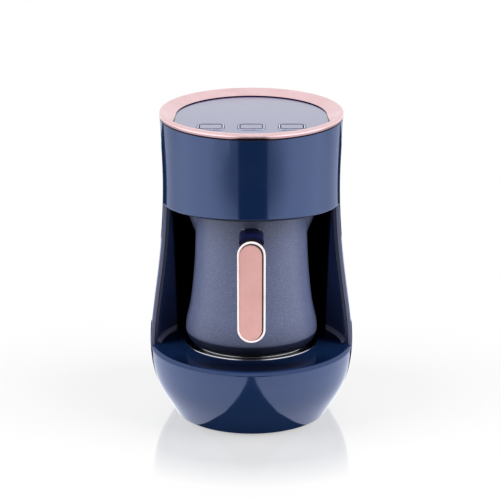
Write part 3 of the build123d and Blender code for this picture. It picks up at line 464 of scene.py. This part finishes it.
# pieces that have zones of their own within their slot's finish: painted shade on the brow's edges
# and the deck's front, a painted highlight on the shell's cut edge, painted light and a painted
# highlight in the niche
ownFinishes = {
    "niche_liner": nicheLining(),
    "brow_panel": navyGloss("navyBrow", browEdgeShade, lacquer["edgeShadeTone"], lacquer["edgeRoughness"]),
    "deck": navyGloss("navyDeck", deckFrontShade, lacquer["deckShadeTone"], lacquer["deckRoughness"]),
    "body_shell": navyGloss("navyShell", nicheRimHighlight, lacquer["rimHighlightTone"], lacquer["rimRoughness"]),
}
beadLook = {
    # the middle colour is a painted dark reflection on the beads
    "dark": (0.80, 0.80, 0.83), "light": (0.90, 0.90, 0.93), "middle": (0.10, 0.10, 0.13),
    "middleHalf": (0.006, 0.014), "roughness": (0.16, 0.22), "toneScale": 120.0,
}


def beadFinish():
    # bright beads with a painted dark reflection at the middle of the front and back
    look = beadLook
    material, tree, shader = newMaterial("beadChrome")
    tone = objectNoise(tree, look["toneScale"], 3.0, 0.6)
    colour = ramp(tree, tone.outputs["Fac"], [(0.3, look["dark"]), (0.7, look["light"])])
    middle = along(tree, "X", *look["middleHalf"], mirrored=True)
    tree.links.new(mixed(tree, middle, look["middle"], colour), shader.inputs["Base Color"])
    tree.links.new(spread(tree, tone.outputs["Fac"], *look["roughness"]), shader.inputs["Roughness"])
    shader.inputs["Metallic"].default_value = 1.0
    return material


beadChrome = beadFinish()
# the pale key bands are a painted highlight, the dark key lines painted shade
keyGlintPale = plainFinish("keyGlintPale", (0.27, 0.28, 0.36), (0.30, 0.31, 0.39), 200.0,
                           (0.4, 0.5))
keyLineDark = plainFinish("keyLineDark", (0.006, 0.007, 0.016), (0.010, 0.012, 0.024), 200.0,
                          (0.5, 0.6), specular=0.1)
print("finishes made:", len(finishes) + len(ownFinishes))


def dressNodes():
    # each carried node takes the finish that its own slot names
    slots = {}
    for name, node in nodes.items():
        for slot in node.material_slots:
            plain = slot.material.name.split(".")[0] if slot.material else "none"
            slots.setdefault(plain, []).append(name)
            if name in ownFinishes:
                slot.material = ownFinishes[name]
            elif plain in finishes:
                slot.material = finishes[plain]
            else:
                print("no finish for", plain, "on", name)
    print({key: len(value) for key, value in slots.items()})


dressNodes()


# handle pad: a bright rim round a satin plate, with a dark sheet in the gap as a painted shadow
pad = {
    "border": 0.0012, "pocket": 0.0011, "bevel": 0.00028, "roundSteps": 98, "smoothAngle": 40,
    # the dark sheet on the pocket's floor is a painted shadow, shown at the top and right by the
    # plate's shift
    "gapLift": 0.00004, "gapInset": 0.00002, "gapThick": 0.00003,  # dark film on the pocket's floor
    "plateInset": 0.00068, "plateProud": 0.0006, "plateShift": (-0.00058, -0.00046),
    "plateClear": 0.00001, "plateBevelShare": 0.8,
}


def slotPlate(name, centre, radius, half, depth):
    # plate with round ends, its front at the centre's Y, going back by a depth
    bpy.ops.object.select_all(action="DESELECT")
    bpy.ops.mesh.primitive_circle_add(vertices=pad["roundSteps"], radius=radius,
                                      fill_type="NGON", location=centre,
                                      rotation=(math.pi / 2, 0, 0))
    plate = bpy.context.object
    plate.name = name
    bpy.ops.object.transform_apply(location=True, rotation=True, scale=True)
    for shift in (half, -half):
        for group in (plate.data.polygons, plate.data.edges, plate.data.vertices):
            group.foreach_set("select", [False] * len(group))
        for vertex in plate.data.vertices:
            vertex.select = (vertex.co.z - centre[2]) * shift > 0
        bpy.ops.object.mode_set(mode="EDIT")
        bpy.ops.mesh.select_mode(type="VERT")
        bpy.ops.transform.translate(value=(0, 0, shift))
        bpy.ops.object.mode_set(mode="OBJECT")
    bpy.ops.object.mode_set(mode="EDIT")
    bpy.ops.mesh.select_all(action="SELECT")
    bpy.ops.mesh.extrude_region_move(TRANSFORM_OT_translate={"value": (0, depth, 0)})
    bpy.ops.mesh.select_all(action="SELECT")
    bpy.ops.mesh.normals_make_consistent(inside=False)
    bpy.ops.object.mode_set(mode="OBJECT")
    return plate


def pocketed(plate, front, border, pocket):
    # front face set back inside a border
    for group in (plate.data.edges, plate.data.vertices):
        group.foreach_set("select", [False] * len(group))
    for face in plate.data.polygons:
        face.select = face.normal.y < -0.9 and abs(face.center.y - front) < 1e-5
    bpy.ops.object.mode_set(mode="EDIT")
    bpy.ops.mesh.select_mode(type="FACE")
    bpy.ops.mesh.inset(thickness=border)
    bpy.ops.mesh.extrude_region_move(TRANSFORM_OT_translate={"value": (0, pocket, 0)})
    bpy.ops.object.mode_set(mode="OBJECT")


def softEdges(piece, width):
    bpy.ops.object.select_all(action="DESELECT")
    piece.select_set(True)
    bpy.context.view_layer.objects.active = piece
    bevel = piece.modifiers.new("soft", "BEVEL")
    bevel.width = width
    bevel.segments = 3
    bevel.limit_method = "ANGLE"
    bpy.ops.object.modifier_apply(modifier=bevel.name)
    bpy.ops.object.shade_smooth_by_angle(angle=math.radians(pad["smoothAngle"]))


def makePad():
    low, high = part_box("handle_pad")
    radius = (high[0] - low[0]) / 2
    half = (high[2] - low[2]) / 2 - radius
    centre = ((low[0] + high[0]) / 2, low[1], (low[2] + high[2]) / 2)
    rim = slotPlate("padRim", centre, radius, half, high[1] - low[1])
    pocketed(rim, low[1], pad["border"], pad["pocket"])
    softEdges(rim, pad["bevel"])
    rim.data.materials.append(finishes["rim"])
    # painted shadow: a dark sheet on the pocket's floor
    gapFront = (centre[0], low[1] + pad["pocket"] - pad["gapLift"], centre[2])
    gap = slotPlate("padGapShadow", gapFront, radius - pad["border"] - pad["gapInset"], half,
                    pad["gapThick"])
    gap.data.materials.append(finishes["component"])
    shiftX, shiftZ = pad["plateShift"]
    plateFront = (centre[0] + shiftX, gapFront[1] - pad["plateProud"], centre[2] + shiftZ)
    plate = slotPlate("padPlate", plateFront, radius - pad["border"] - pad["plateInset"], half,
                      pad["plateProud"] - pad["plateClear"])
    softEdges(plate, pad["bevel"] * pad["plateBevelShare"])
    plate.data.materials.append(finishes["rose_pad"])
    for piece in (rim, gap, plate):
        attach(piece, "pot")
    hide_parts("handle_pad")
    return [rim, gap, plate]


print("pad pieces:", [piece.name for piece in makePad()])


# bright beads round the hot plate
beads = {
    # name: radius of the ring, radius of the bead, height of its middle
    "plateLip": (0.0440, 0.00055, 0.05430),
    "plateBead": (0.0503, 0.00060, 0.05440),
}


beadSteps = {"round": 192, "section": 16}


def makeBeads():
    # a small circle spun about the plate's axis
    made = []
    for name, (radius, thick, height) in beads.items():
        bpy.ops.object.select_all(action="DESELECT")
        bpy.ops.mesh.primitive_circle_add(vertices=beadSteps["section"], radius=thick,
                                          location=(radius, 0, height),
                                          rotation=(math.pi / 2, 0, 0))
        bead = bpy.context.object
        bead.name = name
        bpy.ops.object.transform_apply(location=True, rotation=True, scale=True)
        bpy.ops.object.mode_set(mode="EDIT")
        bpy.ops.mesh.select_all(action="SELECT")
        bpy.ops.mesh.spin(steps=beadSteps["round"], angle=2 * math.pi, center=(0, 0, 0),
                          axis=(0, 0, 1))
        bpy.ops.mesh.select_all(action="SELECT")
        bpy.ops.mesh.remove_doubles(threshold=0.000001)
        bpy.ops.mesh.normals_make_consistent(inside=False)
        bpy.ops.object.mode_set(mode="OBJECT")
        bpy.ops.object.shade_smooth()
        bead.data.materials.append(beadChrome)
        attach(bead, "machine")
        made.append(bead)
    return made


print("plate beads:", [bead.name for bead in makeBeads()])


# dark lines round the keys as painted shade at the frames' edges, with pale bands between as a
# painted highlight
keyLines = {
    "pitch": 0.0282, "alongSlope": -0.0325, "panelHeight": 0.22122, "proud": 0.00061,
    "thick": 0.00003, "cornerSteps": 10,
    "outline": (0.0167, 0.0132), "outlineCorner": 0.0032, "outlineWidth": 0.0004,
    "outlineInner": 0.0111, "bracket": (0.0194, 0.0130), "bracketCorner": 0.0039,
    "bracketWidth": 0.0005, "bracketFrom": 0.0079,
    "glint": (0.0184, 0.0124), "glintCorner": 0.0036, "glintWidth": 0.0008,
}


def roundedBand(name, size, corner, width, innerDepth=None, keepBeyond=0.0):
    # thin flat band with rounded corners, only its ends where keepBeyond is given
    bpy.ops.object.select_all(action="DESELECT")
    bpy.ops.mesh.primitive_plane_add(size=1, location=(0, 0, 0))
    band = bpy.context.object
    band.name = name
    band.scale = (size[0], size[1], 1)
    bpy.ops.object.transform_apply(location=True, rotation=True, scale=True)
    bpy.ops.object.mode_set(mode="EDIT")
    bpy.ops.mesh.select_all(action="SELECT")
    bpy.ops.mesh.bevel(offset=corner, segments=keyLines["cornerSteps"], affect="VERTICES")
    bpy.ops.mesh.select_mode(type="FACE")
    bpy.ops.mesh.select_all(action="SELECT")
    bpy.ops.mesh.inset(thickness=width)
    if innerDepth:
        bpy.ops.transform.resize(value=(1, innerDepth / (size[1] - 2 * width), 1))
    bpy.ops.mesh.delete(type="FACE")
    bpy.ops.object.mode_set(mode="OBJECT")
    for face in band.data.polygons:
        face.select = abs(face.center.x) < keepBeyond
    bpy.ops.object.mode_set(mode="EDIT")
    bpy.ops.mesh.delete(type="FACE")
    bpy.ops.mesh.select_all(action="SELECT")
    bpy.ops.mesh.extrude_region_move(TRANSFORM_OT_translate={"value": (0, 0, keyLines["thick"])})
    bpy.ops.mesh.select_all(action="SELECT")
    bpy.ops.mesh.normals_make_consistent(inside=False)
    bpy.ops.object.mode_set(mode="OBJECT")
    return band


def makeKeyLines():
    look = keyLines
    high = (look["panelHeight"] + look["proud"]) / math.cos(topSlope)
    forward = look["alongSlope"]
    middle = Vector((0, forward * math.cos(topSlope), high + forward * math.sin(topSlope)))
    keyPlaces = {"Left": -look["pitch"], "Centre": 0.0, "Right": look["pitch"]}
    made = []
    for place, keyX in keyPlaces.items():
        outline = roundedBand("keyLine" + place, look["outline"], look["outlineCorner"],
                              look["outlineWidth"], look["outlineInner"])
        bracket = roundedBand("keyBracketShade" + place, look["bracket"], look["bracketCorner"],
                              look["bracketWidth"], keepBeyond=look["bracketFrom"])
        glint = roundedBand("keyGlint" + place, look["glint"], look["glintCorner"],
                            look["glintWidth"], keepBeyond=look["bracketFrom"])
        for band in (outline, bracket, glint):
            bpy.ops.object.select_all(action="DESELECT")
            band.select_set(True)
            bpy.context.view_layer.objects.active = band
            band.rotation_euler = (topSlope, 0, 0)
            band.location = middle + Vector((keyX, 0, 0))
            bpy.ops.object.transform_apply(location=True, rotation=True, scale=True)
            band.data.materials.append(keyGlintPale if band is glint else keyLineDark)
            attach(band, "machine")
            made.append(band)
    return made


print("key lines:", len(makeKeyLines()))


# stage: floor, reflection cards and light
floorLook = {
    "half": 6.0, "drop": 0.0002, "colour": (0.34, 0.34, 0.35), "roughness": 0.6,
    "mirror": 0.24, "mirrorRoughness": 0.05, "mirrorReach": (0.140, 0.102),
    "dimPlace": (0.0, -0.95, 0.0), "dimReach": (0.32, 0.95), "dimLevel": (0.5, 2.0),
    "shadow": 0.35, "shadowColour": (0.40, 0.40, 0.405), "shadowReach": (0.30, 0.10),
    # the near reach and level are painted shade on the floor's glow close to the object
    "nearReach": (0.065, 0.135), "nearLevel": (0.85, 1.0),
    "backReach": (0.0, 0.45), "backLevel": (1.0, 0.68),
}


def smoothLevel(tree, source, reach, level):
    # eases from one level to another over a reach
    node = addNode(tree, "ShaderNodeMapRange", interpolation_type="SMOOTHSTEP")
    tree.links.new(source, node.inputs["Value"])
    node.inputs["From Min"].default_value, node.inputs["From Max"].default_value = reach
    node.inputs["To Min"].default_value, node.inputs["To Max"].default_value = level
    return node.outputs["Result"]


def makeFloor():
    # white, with a weak mirror image and a soft shadow near the object
    # in reflections it glows as painted light in a smooth sweep, dimmer in front and behind, with
    # painted shade close to the object
    look = floorLook
    bpy.ops.object.select_all(action="DESELECT")
    bpy.ops.mesh.primitive_plane_add(size=2 * look["half"], location=(0, 0, -look["drop"]))
    floor = bpy.context.object
    floor.name = "floor"
    material, tree, shader = newMaterial("floorWhite")
    links = tree.links
    shader.inputs["Base Color"].default_value = (*look["colour"], 1.0)
    shader.inputs["Roughness"].default_value = look["roughness"]
    shader.inputs["Specular IOR Level"].default_value = 0.0
    white = addNode(tree, "ShaderNodeEmission")
    mirror = addNode(tree, "ShaderNodeBsdfGlossy")
    mirror.inputs["Color"].default_value = (1, 1, 1, 1)
    mirror.inputs["Roughness"].default_value = look["mirrorRoughness"]
    coords = addNode(tree, "ShaderNodeTexCoord")
    reach = addNode(tree, "ShaderNodeVectorMath", operation="LENGTH")
    links.new(coords.outputs["Object"], reach.inputs[0])
    share = addNode(tree, "ShaderNodeMath", operation="MULTIPLY")
    links.new(ranged(tree, reach.outputs["Value"], *look["mirrorReach"]), share.inputs[0])
    share.inputs[1].default_value = look["mirror"]
    matte = addNode(tree, "ShaderNodeBsdfDiffuse")
    matte.inputs["Color"].default_value = (*look["shadowColour"], 1.0)
    shadowShare = addNode(tree, "ShaderNodeMath", operation="MULTIPLY")
    links.new(ranged(tree, reach.outputs["Value"], *look["shadowReach"]), shadowShare.inputs[0])
    shadowShare.inputs[1].default_value = look["shadow"]
    shaded = addNode(tree, "ShaderNodeMixShader")
    links.new(shadowShare.outputs["Value"], shaded.inputs["Fac"])
    links.new(white.outputs["Emission"], shaded.inputs[1])
    links.new(matte.outputs["BSDF"], shaded.inputs[2])
    seen = addNode(tree, "ShaderNodeMixShader")
    links.new(share.outputs["Value"], seen.inputs["Fac"])
    links.new(shaded.outputs["Shader"], seen.inputs[1])
    links.new(mirror.outputs["BSDF"], seen.inputs[2])
    away = addNode(tree, "ShaderNodeVectorMath", operation="DISTANCE")
    links.new(coords.outputs["Object"], away.inputs[0])
    away.inputs[1].default_value = look["dimPlace"]
    dim = smoothLevel(tree, away.outputs["Value"], look["dimReach"], look["dimLevel"])
    # painted shade: the glow seen in reflections is dimmed close to the object
    near = smoothLevel(tree, reach.outputs["Value"], look["nearReach"], look["nearLevel"])
    back = addNode(tree, "ShaderNodeMapRange")
    links.new(along(tree, "Y", *look["backReach"]), back.inputs["Value"])
    back.inputs["To Min"].default_value, back.inputs["To Max"].default_value = look["backLevel"]
    level = product(tree, product(tree, dim, near), back.outputs["Result"])
    sweep = addNode(tree, "ShaderNodeEmission")
    links.new(level, sweep.inputs["Strength"])
    paths = addNode(tree, "ShaderNodeLightPath")
    reflected = addNode(tree, "ShaderNodeMixShader")
    links.new(paths.outputs["Is Glossy Ray"], reflected.inputs["Fac"])
    links.new(shader.outputs["BSDF"], reflected.inputs[1])
    links.new(sweep.outputs["Emission"], reflected.inputs[2])
    final = addNode(tree, "ShaderNodeMixShader")
    links.new(paths.outputs["Is Camera Ray"], final.inputs["Fac"])
    links.new(reflected.outputs["Shader"], final.inputs[1])
    links.new(seen.outputs["Shader"], final.inputs[2])
    links.new(final.outputs["Shader"], tree.nodes["Material Output"].inputs["Surface"])
    floor.data.materials.append(material)
    return floor


worldFill = 0.36  # strength as fill light


def makeWorld():
    # white to the eye and in reflections, a plain grey as fill light
    world = bpy.data.worlds.new("studio")
    bpy.context.scene.world = world
    world.use_nodes = True
    tree = world.node_tree
    back = tree.nodes["Background"]
    back.inputs["Color"].default_value = (1, 1, 1, 1)
    paths = addNode(tree, "ShaderNodeLightPath")
    either = addNode(tree, "ShaderNodeMath", operation="MAXIMUM")
    direct = addNode(tree, "ShaderNodeMath", operation="MAXIMUM")
    level = addNode(tree, "ShaderNodeMapRange")
    level.inputs["To Min"].default_value = worldFill
    level.inputs["To Max"].default_value = 1.0
    links = tree.links
    links.new(paths.outputs["Is Camera Ray"], either.inputs[0])
    links.new(paths.outputs["Is Glossy Ray"], either.inputs[1])
    links.new(either.outputs["Value"], direct.inputs[0])
    links.new(paths.outputs["Is Transmission Ray"], direct.inputs[1])
    links.new(direct.outputs["Value"], level.inputs["Value"])
    links.new(level.outputs["Result"], back.inputs["Strength"])


cards = {
    # dark studio cards, seen only in reflections: corners in metres; the front wedge and the near one
    # behind are a painted shadow of the object on the floor
    "frontWedgeShadow": [(0.0, -0.232, 0.001), (0.026, -0.072, 0.001), (0.062, 0.0, 0.001),
                   (-0.062, 0.0, 0.001), (-0.026, -0.072, 0.001)],
    "frontStrip": [(-0.224, -0.80, 0.0), (0.280, -0.80, 0.0), (0.280, -0.80, 0.16),
                   (-0.224, -0.80, 0.16)],
    "behindNearShadow": [(-0.07, 0.03, 0.001), (0.07, 0.03, 0.001), (0.25, 0.22, 0.001),
                   (-0.25, 0.22, 0.001)],
    "behindFar": [(-0.60, 0.60, 0.001), (0.45, 0.62, 0.001), (1.1, 1.5, 0.001),
                  (-1.25, 1.5, 0.001)],
}
flatCards = ("frontWedgeShadow", "behindNearShadow", "behindFar")
cardTone = {"frontWedgeShadow": (0.05, 0.085, 0.13), "others": (0.004, 0.004, 0.005)}
cardRoughness = 0.9


def clearFromBelow(tree, shader):
    # a flat card isn't there from below, which keeps it out of the floor's mirror image
    clear = addNode(tree, "ShaderNodeBsdfTransparent")
    sides = addNode(tree, "ShaderNodeNewGeometry")
    either = addNode(tree, "ShaderNodeMixShader")
    tree.links.new(sides.outputs["Backfacing"], either.inputs["Fac"])
    tree.links.new(shader.outputs["BSDF"], either.inputs[1])
    tree.links.new(clear.outputs["BSDF"], either.inputs[2])
    tree.links.new(either.outputs["Shader"], tree.nodes["Material Output"].inputs["Surface"])


def makeCards():
    for name, corners in cards.items():
        material, tree, shader = newMaterial("card" + name)
        tone = cardTone.get(name, cardTone["others"])
        shader.inputs["Base Color"].default_value = (*tone, 1.0)
        shader.inputs["Roughness"].default_value = cardRoughness
        shader.inputs["Specular IOR Level"].default_value = 0.0
        if name in flatCards:
            clearFromBelow(tree, shader)
        mesh = bpy.data.meshes.new(name)
        mesh.from_pydata(corners, [], [tuple(range(len(corners)))])
        mesh.materials.append(material)
        card = bpy.data.objects.new(name, mesh)
        bpy.context.collection.objects.link(card)
        card.visible_camera = False
        card.visible_diffuse = False
        card.visible_shadow = False
        card.visible_transmission = False


lamps = {
    # name: centre, size (width, height), aim, watts
    "left": ((-1.10, -0.35, 0.75), (0.9, 1.1), (0, 0, 0.12), 39.0),
    "right": ((1.10, -0.35, 0.75), (0.9, 1.1), (0, 0, 0.12), 43.0),
    "backTop": ((0.0, 1.05, 0.95), (1.1, 0.7), (0, 0, 0.2), 8.0),
}


def makeLamps():
    for name, (centre, size, aim, watts) in lamps.items():
        data = bpy.data.lights.new(name, "AREA")
        data.shape = "RECTANGLE"
        data.size, data.size_y = size
        data.energy = watts
        lamp = bpy.data.objects.new(name, data)
        bpy.context.collection.objects.link(lamp)
        lamp.location = centre
        lamp.visible_glossy = False
        lamp.rotation_euler = (Vector(aim) - Vector(centre)).to_track_quat("-Z", "Y").to_euler()


cameraPlace = {
    "target": (0.0, 0.0, 0.1173), "distance": 0.7425, "pitch": 14.0, "lens": 71.28, "sensor": 36.0,
    "shiftX": -0.0028, "shiftY": 0.0162,
}


def makeCamera():
    data = bpy.data.cameras.new("camera")
    data.sensor_width = cameraPlace["sensor"]
    data.lens = cameraPlace["lens"]
    data.shift_x = cameraPlace["shiftX"]
    data.shift_y = cameraPlace["shiftY"]
    camera = bpy.data.objects.new("camera", data)
    bpy.context.collection.objects.link(camera)
    pitch = math.radians(cameraPlace["pitch"])
    away = Vector((0, -math.cos(pitch), math.sin(pitch))) * cameraPlace["distance"]
    camera.location = Vector(cameraPlace["target"]) + away
    camera.rotation_euler = (math.radians(90.0) - pitch, 0, 0)
    bpy.context.scene.camera = camera


makeFloor()
makeWorld()
makeCards()
makeLamps()
makeCamera()
bpy.context.scene.view_settings.view_transform = "Standard"
print("stage ready")
